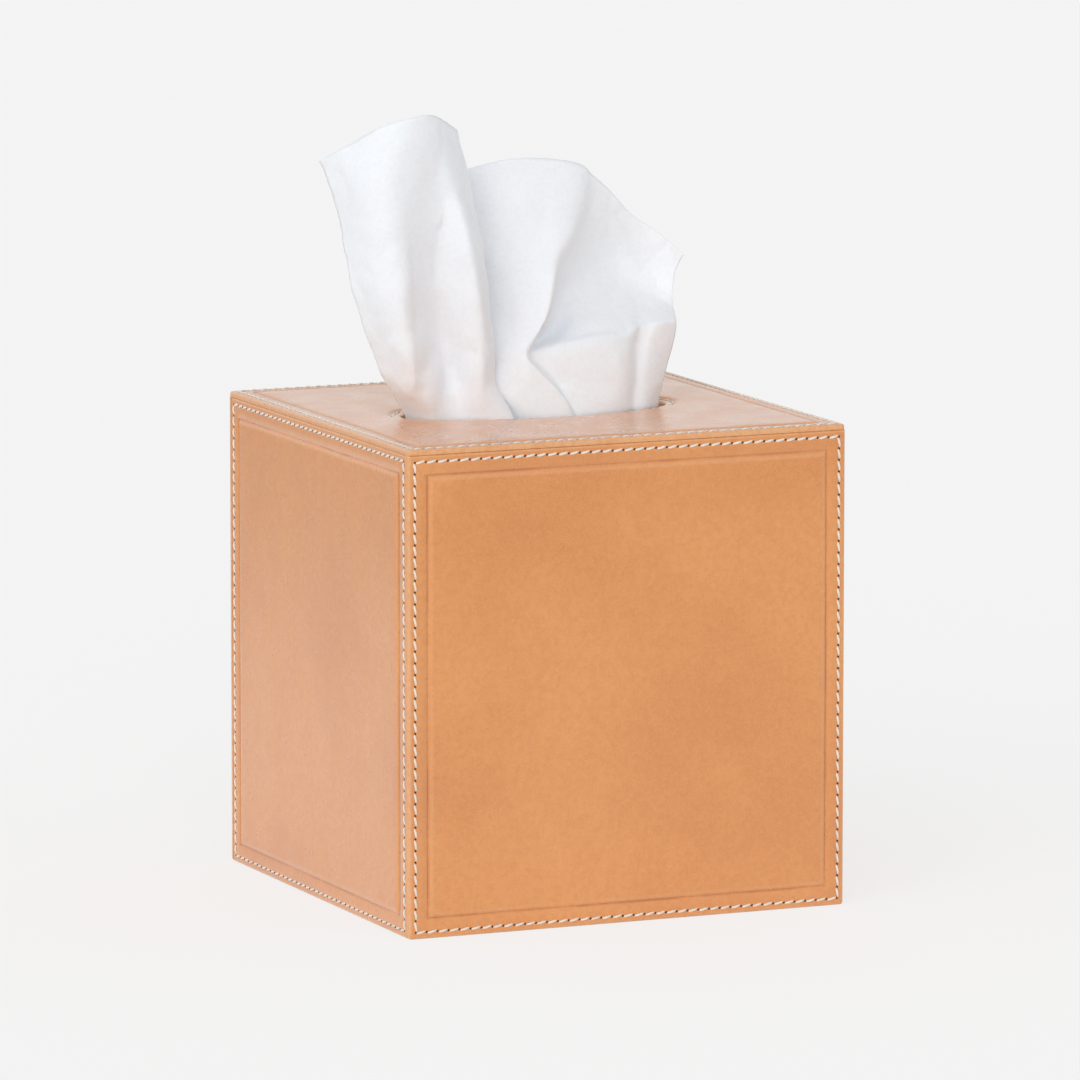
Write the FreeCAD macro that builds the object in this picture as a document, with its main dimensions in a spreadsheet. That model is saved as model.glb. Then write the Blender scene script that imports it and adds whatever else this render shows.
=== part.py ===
import FreeCAD, Part
import math
import os

import Sketcher

# Tissue box cover: five stitched leather panels over boards, standing over an upright carton of tissues.
# The frame has +Z up, the origin under the middle of the base and the front panel towards -Y.
# Lengths are in millimetres and angles in degrees.

SIZES = {
    # Refill carton: an upright paperboard box with a slit film under its mouth
    "carton_width": 110,
    "carton_depth": 110,
    "carton_height": 124,
    "carton_wall": 0.6,
    "mouth_length": 84,
    "mouth_width": 46,
    "film_margin": 8,
    "film_thickness": 0.3,
    "slit_length": 52.6,
    "slit_width": 3,
    # Folded stack in the carton, bent upwards round a valley
    "stack_clearance": 0.5,
    "stack_headroom": 5,
    "stack_bend": 26,
    "valley_clearance": 2.3,
    # Room between the carton and the lining of the cover
    "carton_clearance": 5.2,
    "head_clearance": 5.2,
    # Layers of the cover, from the inside out
    "lining_thickness": 0.8,
    "board_thickness": 2.5,
    "leather_thickness": 1.5,
    "base_strip_thickness": 1.2,
    # Oval opening in the top
    "opening_length": 79,
    "opening_width": 34,
    "collar_thickness": 1,
    "collar_clearance": 0.1,
    # Edges and creased line of each leather panel
    "corner_round": 1.2,
    "foot_round": 2.5,
    "edge_round": 0.5,
    "crease_inset": 5.6,
    "crease_width": 0.9,
    "crease_depth": 0.35,
    # Stitching
    "stitch_inset": 1.9,
    "ring_inset": 2.2,
    "stitch_pitch": 3.25,
    "stitch_length": 2.6,
    "stitch_width": 0.75,
    "stitch_height": 0.4,
    "stitch_slant": 14,
    # Tissue standing in the opening
    "tissue_rise": 86,
    "tissue_thickness": 0.8,
    "tissue_clearance": 0.3,
    "tail_length": 84,
    # Every cut runs this far past the face that it leaves
    "overrun": 2,
}

# Folds of the tissue, from its left edge to its right edge, as shares of half the opening's length and
# half its width: a lobe in front on the left, a fold back behind it, and a lobe on the right.
MOUTH_FOLD_SHARES = (
    (-0.89, -0.06), (-0.58, -0.53), (-0.18, -0.59), (-0.28, -0.26), (-0.35, 0.12), (0.20, -0.18), (0.81, 0.12),
)
MIDDLE_FOLD_SHARES = (
    (-1.33, 0.22), (-0.86, -0.65), (-0.46, -0.53), (-0.58, -0.18), (-0.66, 0.29), (0.20, -0.06), (1.11, 0.18),
)
UPPER_FOLD_SHARES = (
    (-1.46, 0.80), (-1.06, -0.59), (-0.68, -0.35), (-0.79, 0.00), (-0.86, 0.47), (0.15, 0.24), (1.16, -0.12),
)
MIDDLE_RISE_SHARE = 0.41

# Upper edge of the tissue seen from the front: shares of half the opening's length and of the rise.
# The middle point of each round stretch lies between its two ends.
LEFT_EDGE_SHARES = ((-1.53, 0.825), (-1.20, 0.970), (-0.80, 0.990))
RIGHT_EDGE_SHARES = ((-0.48, 0.795), (0.35, 0.775), (1.13, 0.480))


doc = FreeCAD.newDocument("tissue_box_cover")
sheet = doc.addObject("Spreadsheet::Sheet", "sizes")
for row, (alias, number) in enumerate(SIZES.items(), start=1):
    sheet.set(f"A{row}", alias)
    sheet.set(f"B{row}", str(number))
    sheet.setAlias(f"B{row}", alias)
doc.recompute()

nodes = []


class Length:
    """A length of the sheet, or one worked out from such lengths: its expression and its value."""

    def __init__(self, text, value):
        self.text = text
        self.value = value

    def __add__(self, other):
        return Length(f"({self.text} + {other.text})", self.value + other.value)

    def __sub__(self, other):
        return Length(f"({self.text} - {other.text})", self.value - other.value)

    def __neg__(self):
        return Length(f"(-{self.text})", -self.value)

    def __mul__(self, share):
        return Length(f"({self.text} * {share})", self.value * share)

    def __truediv__(self, parts):
        return Length(f"({self.text} / {parts})", self.value / parts)


def cell(alias):
    """The length that one cell of the sheet holds."""
    return Length(f"sizes.{alias}", float(sheet.get(alias)))


def bind(piece, name, length):
    """Ties one property of a piece to a length."""
    piece.setExpression(name, length.text)


def keep(piece, label):
    """Makes a piece a sub-part of its own, which is written to a file under its label."""
    piece.Label = label
    nodes.append(piece)
    return piece


zero = Length("0", 0)
overrun = cell("overrun")
leather = cell("leather_thickness")
half_slit = cell("slit_length") / 2
half_tail = half_slit - cell("tissue_clearance")
half_tail_depth = cell("slit_width") / 2 - cell("tissue_clearance")
half_opening = cell("opening_length") / 2
half_opening_depth = cell("opening_width") / 2

# Faces of the layers, measured from the middle of the box and from its base
lining_x = cell("carton_width") / 2 + cell("carton_clearance")
lining_y = cell("carton_depth") / 2 + cell("carton_clearance")
lining_z = cell("carton_height") + cell("head_clearance")
board_in_x = lining_x + cell("lining_thickness")
board_in_y = lining_y + cell("lining_thickness")
board_in_z = lining_z + cell("lining_thickness")
board_out_x = board_in_x + cell("board_thickness")
board_out_y = board_in_y + cell("board_thickness")
board_out_z = board_in_z + cell("board_thickness")
outer_x = board_out_x + leather
outer_y = board_out_y + leather
outer_z = board_out_z + leather
strip_z = cell("base_strip_thickness")


def box(name, x, y, z):
    """A flat-sided solid between two lengths along each axis."""
    piece = doc.addObject("Part::Box", name)
    for side, axis, (low, high) in (("Length", "x", x), ("Width", "y", y), ("Height", "z", z)):
        bind(piece, side, high - low)
        bind(piece, f".Placement.Base.{axis}", low)
    return piece


def oval_prism(name, half_length, half_width, low, high):
    """An upright prism over an oval that is centred on the opening."""
    oval = doc.addObject("Part::Ellipse", name + "_oval")
    bind(oval, "MajorRadius", half_length)
    bind(oval, "MinorRadius", half_width)
    bind(oval, ".Placement.Base.z", low)
    prism = doc.addObject("Part::Extrusion", name)
    prism.Base = oval
    prism.DirMode = "Normal"
    prism.Solid = True
    bind(prism, "LengthFwd", high - low)
    return prism


def cut(name, base, tool):
    """One solid with another taken out of it."""
    result = doc.addObject("Part::Cut", name)
    result.Base = base
    result.Tool = tool
    return result


def plane_sketch(body, name, lift):
    """A sketch on the body's XY plane, lifted to the face that it cuts."""
    sketch = body.newObject("Sketcher::SketchObject", name)
    plane = next(item for item in body.Origin.OriginFeatures if item.Role == "XY_Plane")
    sketch.AttachmentSupport = [(plane, "")]
    sketch.MapMode = "FlatFace"
    bind(sketch, ".AttachmentOffset.Base.z", lift)
    return sketch


def drive(sketch, name, constraint, length):
    """Adds a named dimension to a sketch and ties it to a length."""
    index = sketch.addConstraint(constraint)
    sketch.renameConstraint(index, name)
    bind(sketch, f"Constraints.{name}", length)


def add_rectangle(sketch, name, width, height):
    """A rectangle centred on the sketch's origin."""
    half_width = width.value / 2
    half_height = height.value / 2
    signs = ((-1, -1), (1, -1), (1, 1), (-1, 1))
    corners = [FreeCAD.Vector(x * half_width, y * half_height, 0) for x, y in signs]
    first = sketch.GeometryCount
    for corner, following in zip(corners, corners[1:] + corners[:1]):
        sketch.addGeometry(Part.LineSegment(corner, following), False)
    lines = [first, first + 1, first + 2, first + 3]
    for line, following in zip(lines, lines[1:] + lines[:1]):
        sketch.addConstraint(Sketcher.Constraint("Coincident", line, 2, following, 1))
    for line, direction in zip(lines, ("Horizontal", "Vertical", "Horizontal", "Vertical")):
        sketch.addConstraint(Sketcher.Constraint(direction, line))
    sketch.addConstraint(Sketcher.Constraint("Symmetric", lines[0], 1, lines[2], 1, -1, 1))
    across = Sketcher.Constraint("DistanceX", lines[0], 1, lines[0], 2, width.value)
    upwards = Sketcher.Constraint("DistanceY", lines[1], 1, lines[1], 2, height.value)
    drive(sketch, name + "_width", across, width)
    drive(sketch, name + "_height", upwards, height)


def add_oval(sketch, half_length, half_width):
    """An oval centred on the sketch's origin, long along X."""
    far_end = FreeCAD.Vector(half_length.value, 0, 0)
    side = FreeCAD.Vector(0, half_width.value, 0)
    oval = sketch.addGeometry(Part.Ellipse(far_end, side, FreeCAD.Vector(0, 0, 0)), False)
    sketch.exposeInternalGeometry(oval)
    long_axis = oval + 1
    short_axis = oval + 2
    sketch.addConstraint(Sketcher.Constraint("Coincident", oval, 3, -1, 1))
    sketch.addConstraint(Sketcher.Constraint("Horizontal", long_axis))
    length = half_length * 2
    width = half_width * 2
    drive(sketch, "oval_length", Sketcher.Constraint("Distance", long_axis, length.value), length)
    drive(sketch, "oval_width", Sketcher.Constraint("Distance", short_axis, width.value), width)


def edge_names(shape, wanted):
    """Names of the edges whose middle point passes a test."""
    names = []
    for index, edge in enumerate(shape.Edges, start=1):
        middle = edge.valueAt((edge.FirstParameter + edge.LastParameter) / 2)
        if wanted(edge, middle):
            names.append(f"Edge{index}")
    return names


def round_edges(body, base, name, wanted, radius):
    """A fillet on the edges of a body's last feature that pass a test."""
    fillet = body.newObject("PartDesign::Fillet", name)
    fillet.Base = (base, edge_names(base.Shape, wanted))
    bind(fillet, "Radius", radius)
    doc.recompute()
    return fillet


def leather_panel(label, width, height, has_opening):
    """A leather panel lying on the XY plane with its outer face up, its outline centred on the origin."""
    body = doc.addObject("PartDesign::Body", label)
    outline = plane_sketch(body, label + "_outline", zero)
    add_rectangle(outline, "panel", width, height)
    if has_opening:
        add_oval(outline, half_opening, half_opening_depth)
    pad = body.newObject("PartDesign::Pad", label + "_pad")
    pad.Profile = outline
    bind(pad, "Length", leather)

    crease_lines = plane_sketch(body, label + "_crease_lines", leather)
    crease_width = cell("crease_width")
    middle_width = width - cell("crease_inset") * 2
    middle_height = height - cell("crease_inset") * 2
    add_rectangle(crease_lines, "outside", middle_width + crease_width, middle_height + crease_width)
    add_rectangle(crease_lines, "inside", middle_width - crease_width, middle_height - crease_width)
    crease = body.newObject("PartDesign::Pocket", label + "_crease")
    crease.Profile = crease_lines
    bind(crease, "Length", cell("crease_depth"))
    doc.recompute()
    if crease.Shape.Volume >= pad.Shape.Volume:
        raise RuntimeError(f"{label}: the crease cuts nothing")

    near = cell("edge_round").value / 2

    def is_corner(edge, middle):
        upright = edge.BoundBox.ZLength > leather.value - near
        outside = abs(abs(middle.x) - width.value / 2) < near and abs(abs(middle.y) - height.value / 2) < near
        return upright and outside and (has_opening or middle.y < 0)

    corner_radius = cell("corner_round") if has_opening else cell("foot_round")
    corners = round_edges(body, crease, label + "_corners", is_corner, corner_radius)

    def is_outer_edge(edge, middle):
        flat = edge.BoundBox.ZLength < near and abs(middle.z - leather.value) < near
        inset_here = min(width.value / 2 - abs(middle.x), height.value / 2 - abs(middle.y))
        on_oval = has_opening and abs(middle.x) < half_opening.value + near and abs(middle.y) < near
        return flat and (inset_here < cell("crease_inset").value / 2 or on_oval)

    round_edges(body, corners, label + "_edges", is_outer_edge, cell("edge_round"))
    return keep(body, label)


def stitch_solid():
    """One stitch along X on the XY plane: a thread with a rounded top, lying flat."""
    half_width = cell("stitch_width").value / 2
    half_length = cell("stitch_length").value / 2
    left = FreeCAD.Vector(-half_length, -half_width, 0)
    right = FreeCAD.Vector(-half_length, half_width, 0)
    crown = FreeCAD.Vector(-half_length, 0, cell("stitch_height").value)
    arch = Part.Arc(left, crown, right).toShape()
    foot = Part.LineSegment(right, left).toShape()
    profile = Part.Face(Part.Wire([arch, foot]))
    return profile.extrude(FreeCAD.Vector(cell("stitch_length").value, 0, 0))


def stitch_at(stitch, place, direction):
    """A copy of a stitch at a place on the panel, slanted across its row."""
    angle = math.degrees(math.atan2(direction.y, direction.x)) + float(sheet.get("stitch_slant"))
    copy = stitch.copy()
    copy.Placement = FreeCAD.Placement(place, FreeCAD.Rotation(FreeCAD.Vector(0, 0, 1), angle))
    return copy


def border_thread(label, width, height, lift):
    """Four rows of stitches just inside a panel's edge, with their feet at a height above its plane."""
    stitch = stitch_solid()
    inset = cell("stitch_inset").value
    half_width = width.value / 2 - inset
    half_height = height.value / 2 - inset
    signs = ((-1, -1), (1, -1), (1, 1), (-1, 1))
    corners = [FreeCAD.Vector(x * half_width, y * half_height, lift.value) for x, y in signs]
    stitches = []
    for corner, following in zip(corners, corners[1:] + corners[:1]):
        direction = (following - corner).normalize()
        start = corner + direction * cell("stitch_width").value
        run = (following - corner).Length - 2 * cell("stitch_width").value
        count = round(run / cell("stitch_pitch").value)
        for index in range(count):
            place = start + direction * (run * (index + 0.5) / count)
            stitches.append(stitch_at(stitch, place, direction))
    thread = doc.addObject("Part::Feature", label)
    thread.Shape = Part.makeCompound(stitches)
    return keep(thread, label)


def opening_thread(label, lift):
    """A ring of stitches round the opening."""
    stitch = stitch_solid()
    half_length = half_opening.value + cell("ring_inset").value
    half_width = half_opening_depth.value + cell("ring_inset").value
    far_end = FreeCAD.Vector(half_length, 0, lift.value)
    side = FreeCAD.Vector(0, half_width, lift.value)
    ring = Part.Ellipse(far_end, side, FreeCAD.Vector(0, 0, lift.value)).toShape()
    count = round(ring.Length / cell("stitch_pitch").value)
    places = ring.discretize(Number=count + 1)
    stitches = []
    for index in range(count):
        direction = places[(index + 1) % count] - places[index - 1]
        stitches.append(stitch_at(stitch, places[index], direction))
    thread = doc.addObject("Part::Feature", label)
    thread.Shape = Part.makeCompound(stitches)
    return keep(thread, label)


def stand_up(piece, turn, axis, distance):
    """Stands a panel on the box, its outer face turned outwards and its lower edge on the base."""
    upright = FreeCAD.Rotation(FreeCAD.Vector(1, 0, 0), 90)
    piece.Placement.Rotation = FreeCAD.Rotation(FreeCAD.Vector(0, 0, 1), turn) * upright
    bind(piece, f".Placement.Base.{axis}", distance)
    bind(piece, ".Placement.Base.z", board_out_z / 2)


def make_leather():
    """The leather panels and their stitching. The front and back cover the edges of the two sides."""
    front_width = outer_x * 2
    side_width = board_out_y * 2
    walls = (
        ("front", front_width, 0, "y", -board_out_y),
        ("back", front_width, 180, "y", board_out_y),
        ("left", side_width, -90, "x", -board_out_x),
        ("right", side_width, 90, "x", board_out_x),
    )
    for side, width, turn, axis, distance in walls:
        stand_up(leather_panel("leather_" + side, width, board_out_z, False), turn, axis, distance)
        stand_up(border_thread("thread_" + side, width, board_out_z, leather), turn, axis, distance)
    top = leather_panel("leather_top", outer_x * 2, outer_y * 2, True)
    border = border_thread("thread_top", outer_x * 2, outer_y * 2, leather)
    ring = opening_thread("thread_opening", leather)
    for piece in (top, border, ring):
        bind(piece, ".Placement.Base.z", board_out_z)


def make_layer(name, in_x, in_y, out_x, out_y, top_z):
    """Four walls of one layer. The front and back reach over the ends of the two sides."""
    keep(box(f"{name}_front", (-out_x, out_x), (-out_y, -in_y), (strip_z, top_z)), f"{name}_front")
    keep(box(f"{name}_back", (-out_x, out_x), (in_y, out_y), (strip_z, top_z)), f"{name}_back")
    keep(box(f"{name}_left", (-out_x, -in_x), (-in_y, in_y), (strip_z, top_z)), f"{name}_left")
    keep(box(f"{name}_right", (in_x, out_x), (-in_y, in_y), (strip_z, top_z)), f"{name}_right")


def make_layer_top(name, half_x, half_y, low, high):
    """The top of one layer, with the oval cut for the collar."""
    slab = box(f"{name}_slab", (-half_x, half_x), (-half_y, half_y), (low, high))
    room = cell("collar_thickness") + cell("collar_clearance")
    hole = oval_prism(
        f"{name}_hole", half_opening + room, half_opening_depth + room, low - overrun, high + overrun
    )
    keep(cut(name, slab, hole), name)


def make_boards_and_lining():
    """The stiff boards, the lining inside them and the leather strips that close their lower edges."""
    make_layer("board", board_in_x, board_in_y, board_out_x, board_out_y, board_in_z)
    make_layer_top("board_top", board_out_x, board_out_y, board_in_z, board_out_z)
    make_layer("lining", lining_x, lining_y, board_in_x, board_in_y, board_in_z)
    make_layer_top("lining_top", lining_x, lining_y, lining_z, board_in_z)

    base = (zero, strip_z)
    strips = (
        ("base_strip_front", (-board_out_x, board_out_x), (-board_out_y, -lining_y)),
        ("base_strip_back", (-board_out_x, board_out_x), (lining_y, board_out_y)),
        ("base_strip_left", (-board_out_x, -lining_x), (-lining_y, lining_y)),
        ("base_strip_right", (lining_x, board_out_x), (-lining_y, lining_y)),
    )
    for label, x, y in strips:
        keep(box(label, x, y, base), label)


def make_collar():
    """The leather collar that lines the opening under the top panel."""
    thickness = cell("collar_thickness")
    outside = oval_prism(
        "collar_outside", half_opening + thickness, half_opening_depth + thickness, lining_z, board_out_z
    )
    inside = oval_prism(
        "collar_inside", half_opening, half_opening_depth, lining_z - overrun, board_out_z + overrun
    )
    keep(cut("opening_collar", outside, inside), "opening_collar")


def make_carton():
    """The refill carton, and the slit film glued under its mouth. Returns the film's underside."""
    wall = cell("carton_wall")
    half_x = cell("carton_width") / 2
    half_y = cell("carton_depth") / 2
    top = cell("carton_height")
    shell = box("carton_shell", (-half_x, half_x), (-half_y, half_y), (zero, top))
    inside = box(
        "carton_inside", (-half_x + wall, half_x - wall), (-half_y + wall, half_y - wall), (wall, top - wall)
    )
    hollow = cut("carton_hollow", shell, inside)
    half_mouth = cell("mouth_length") / 2
    half_mouth_depth = cell("mouth_width") / 2
    mouth = oval_prism("carton_mouth", half_mouth, half_mouth_depth, top - wall - overrun, top + overrun)
    keep(cut("refill_carton", hollow, mouth), "refill_carton")

    margin = cell("film_margin")
    film_top = top - wall
    film_low = film_top - cell("film_thickness")
    film_x = half_mouth + margin
    film_y = half_mouth_depth + margin
    film = box("film_sheet", (-film_x, film_x), (-film_y, film_y), (film_low, film_top))
    half_gap = cell("slit_width") / 2
    slit = box(
        "film_slit", (-half_slit, half_slit), (-half_gap, half_gap), (film_low - overrun, film_top + overrun)
    )
    keep(cut("slot_film", film, slit), "slot_film")
    return film_low


def make_stack(film_low):
    """The folded stack, bent up round a valley in which the tail of the next tissue hangs."""
    gap = cell("stack_clearance")
    half_x = cell("carton_width") / 2 - cell("carton_wall") - gap
    half_y = cell("carton_depth") / 2 - cell("carton_wall") - gap
    low = cell("carton_wall")
    high = film_low - cell("stack_headroom")
    valley = half_tail_depth + cell("valley_clearance")
    floor = film_low - cell("tail_length") - cell("tissue_clearance")
    block = box("stack_block", (-half_x, half_x), (-half_y, half_y), (low, high))
    trench = box(
        "stack_valley", (-half_x - overrun, half_x + overrun), (-valley, valley), (floor, high + overrun)
    )
    folded = cut("stack_folded", block, trench)

    bend = cell("stack_bend")
    for name, side in (("front", -1), ("back", 1)):
        flanks = [(half_y - bend) * side, (half_y + overrun) * side]
        square = box(
            f"stack_{name}_square",
            (-half_x - overrun, half_x + overrun),
            flanks if side > 0 else flanks[::-1],
            (low - overrun, low + bend),
        )
        roll = doc.addObject("Part::Cylinder", f"stack_{name}_roll")
        bind(roll, "Radius", bend)
        bind(roll, "Height", (half_x + overrun) * 2)
        roll.Placement.Rotation = FreeCAD.Rotation(FreeCAD.Vector(0, 1, 0), 90)
        bind(roll, ".Placement.Base.x", -half_x - overrun)
        bind(roll, ".Placement.Base.y", flanks[0])
        bind(roll, ".Placement.Base.z", low + bend)
        folded = cut(f"stack_{name}_bent", folded, cut(f"stack_{name}_corner", square, roll))
    keep(folded, "tissue_stack")


def fold_points(shares, height):
    """Points along the tissue at one height, from its left edge to its right edge."""
    return [
        FreeCAD.Vector(x * half_opening.value, y * half_opening_depth.value, height) for x, y in shares
    ]


def straight_span(first, middle, last):
    """The line between the ends of three points that are in line."""
    return Part.LineSegment(first, last).toShape()


def round_span(first, middle, last):
    """The arc through three points."""
    return Part.Arc(first, middle, last).toShape()


def ribbon_wire(points, thickness, span):
    """The closed outline of the tissue cut across: three spans in front, three behind and two short ends."""
    front = []
    back = []
    for index, point in enumerate(points):
        before = points[max(index - 1, 0)]
        after = points[min(index + 1, len(points) - 1)]
        along = (after - before).normalize()
        across = FreeCAD.Vector(-along.y, along.x, 0) * (thickness / 2)
        front.append(point - across)
        back.append(point + across)
    edges = [span(front[i], front[i + 1], front[i + 2]) for i in (0, 2, 4)]
    edges.append(Part.LineSegment(front[-1], back[-1]).toShape())
    edges += [span(back[i], back[i - 1], back[i - 2]) for i in (6, 4, 2)]
    edges.append(Part.LineSegment(back[0], front[0]).toShape())
    return Part.Wire(edges)


def upper_edge_solid():
    """A block below the upper edge of the tissue, which trims the top of its folds."""
    def place(share_pair):
        x, z = share_pair
        return FreeCAD.Vector(x * half_opening.value, 0, outer_z.value + z * cell("tissue_rise").value)

    left = [place(pair) for pair in LEFT_EDGE_SHARES]
    right = [place(pair) for pair in RIGHT_EDGE_SHARES]
    reach = outer_x.value
    west = FreeCAD.Vector(-reach, 0, left[0].z)
    east = FreeCAD.Vector(reach, 0, right[2].z)
    deep_east = FreeCAD.Vector(reach, 0, 0)
    deep_west = FreeCAD.Vector(-reach, 0, 0)
    edges = [
        Part.LineSegment(west, left[0]).toShape(),
        Part.Arc(left[0], left[1], left[2]).toShape(),
        Part.LineSegment(left[2], right[0]).toShape(),
        Part.Arc(right[0], right[1], right[2]).toShape(),
        Part.LineSegment(right[2], east).toShape(),
        Part.LineSegment(east, deep_east).toShape(),
        Part.LineSegment(deep_east, deep_west).toShape(),
        Part.LineSegment(deep_west, west).toShape(),
    ]
    face = Part.Face(Part.Wire(edges))
    face.translate(FreeCAD.Vector(0, -outer_y.value, 0))
    return face.extrude(FreeCAD.Vector(0, outer_y.value * 2, 0))


def make_tissue(film_low):
    """The tissue: a flat tail through the slit, and above it folds that fan out of the opening."""
    low = film_low.value - cell("tail_length").value
    neck = (cell("carton_height") + cell("tissue_clearance")).value
    top = outer_z.value
    rise = cell("tissue_rise").value
    tail_thickness = 2 * half_tail_depth.value
    thickness = cell("tissue_thickness").value
    row_shares = [index / 3 - 1 for index in range(7)]
    tail_end = [FreeCAD.Vector(share * half_tail.value, 0, low) for share in row_shares]
    tail_neck = [FreeCAD.Vector(share * half_tail.value, 0, neck) for share in row_shares]
    tail_face = Part.Face(ribbon_wire(tail_end, tail_thickness, straight_span))
    tail = tail_face.extrude(FreeCAD.Vector(0, 0, neck - low))
    wires = [
        ribbon_wire(tail_neck, tail_thickness, straight_span),
        ribbon_wire(fold_points(MOUTH_FOLD_SHARES, top), thickness, round_span),
        ribbon_wire(fold_points(MIDDLE_FOLD_SHARES, top + MIDDLE_RISE_SHARE * rise), thickness, round_span),
        ribbon_wire(fold_points(UPPER_FOLD_SHARES, top + rise), thickness, round_span),
    ]
    folds = Part.makeLoft(wires, True, False).common(upper_edge_solid())
    tissue = doc.addObject("Part::Feature", "popup_tissue")
    tissue.Shape = tail.fuse(folds).removeSplitter()
    keep(tissue, "popup_tissue")


def write_parts():
    """Checks every object of the document, then writes each sub-part to its own file."""
    doc.recompute()
    for item in doc.Objects:
        if "Invalid" in item.State or "Error" in item.State:
            raise RuntimeError(f"{item.Label}: {item.State}")
    for node in nodes:
        if node.Shape.isNull() or not node.Shape.isValid() or not node.Shape.Solids:
            raise RuntimeError(f"{node.Label}: no valid solid")
    os.makedirs("parts", exist_ok=True)
    for node in nodes:
        node.Shape.exportStep(f"parts/{node.Label}.step")
        print(f"{node.Label}: {len(node.Shape.Solids)} solids, {node.Shape.Volume:.1f} mm3")


make_leather()
make_boards_and_lining()
make_collar()
film_low = make_carton()
make_stack(film_low)
make_tissue(film_low)
write_parts()
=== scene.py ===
"""A stitched leather tissue box cover over its paper refill, with one tissue standing in the opening."""

import math
from collections import namedtuple

import bmesh
import bpy
from bpy.props import FloatProperty, FloatVectorProperty, IntProperty, PointerProperty
from bpy.types import Operator, Panel, PropertyGroup
from mathutils import Matrix, Vector, noise


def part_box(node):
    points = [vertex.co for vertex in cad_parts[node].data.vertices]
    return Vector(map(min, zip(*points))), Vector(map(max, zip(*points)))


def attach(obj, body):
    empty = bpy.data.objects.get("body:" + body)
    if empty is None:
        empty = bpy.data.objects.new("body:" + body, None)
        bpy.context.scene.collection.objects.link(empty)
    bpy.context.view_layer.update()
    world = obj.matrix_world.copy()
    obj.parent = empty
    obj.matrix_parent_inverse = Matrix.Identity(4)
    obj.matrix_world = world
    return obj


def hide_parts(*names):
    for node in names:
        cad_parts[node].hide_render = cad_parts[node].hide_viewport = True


bl_info = {
    "name": "Leather tissue box cover",
    "version": (1, 0, 0),
    "blender": (4, 5, 0),
    "location": "3D View > Sidebar > Tissue Cover",
    "description": "Dresses a packed tissue box cover in stitched leather and stands a tissue in it",
    "category": "Object",
}

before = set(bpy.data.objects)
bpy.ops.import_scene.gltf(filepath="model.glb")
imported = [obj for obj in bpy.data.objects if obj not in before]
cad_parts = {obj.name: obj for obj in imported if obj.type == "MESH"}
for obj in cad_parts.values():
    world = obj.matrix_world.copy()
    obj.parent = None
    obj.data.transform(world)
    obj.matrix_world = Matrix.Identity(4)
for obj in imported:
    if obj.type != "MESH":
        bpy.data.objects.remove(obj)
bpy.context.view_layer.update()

MM = 0.001

# Each panel's own right and up directions, seen from outside the cover
PANEL_SIDES = {
    "front": ((1, 0, 0), (0, 0, 1)),
    "back": ((-1, 0, 0), (0, 0, 1)),
    "left": ((0, -1, 0), (0, 0, 1)),
    "right": ((0, 1, 0), (0, 0, 1)),
    "top": ((1, 0, 0), (0, 1, 0)),
}

# Nodes of the cover that keep their CAD shape and get a finish
BOARD_NODES = ["board_" + side for side in PANEL_SIDES]
LINING_NODES = ["lining_" + side for side in PANEL_SIDES]
STRIP_NODES = ["base_strip_" + side for side in PANEL_SIDES if side != "top"]

# Details of the shapes, the direction that the main lamp shines from, and plain white
COLLAR_WALL = 1.0 * MM
HOLE_HALF_SIZE = (0.5 * MM, 0.3 * MM, 0.07 * MM)
HOLE_RISE = 0.02 * MM
ROUND_STEPS = 4
SHARP_ANGLE = math.radians(50)
WAVE_SCALE = 28.0
KEY_DIRECTION = (-0.72, -0.8, 0.33)
WHITE = (1.0, 1.0, 1.0)

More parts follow.
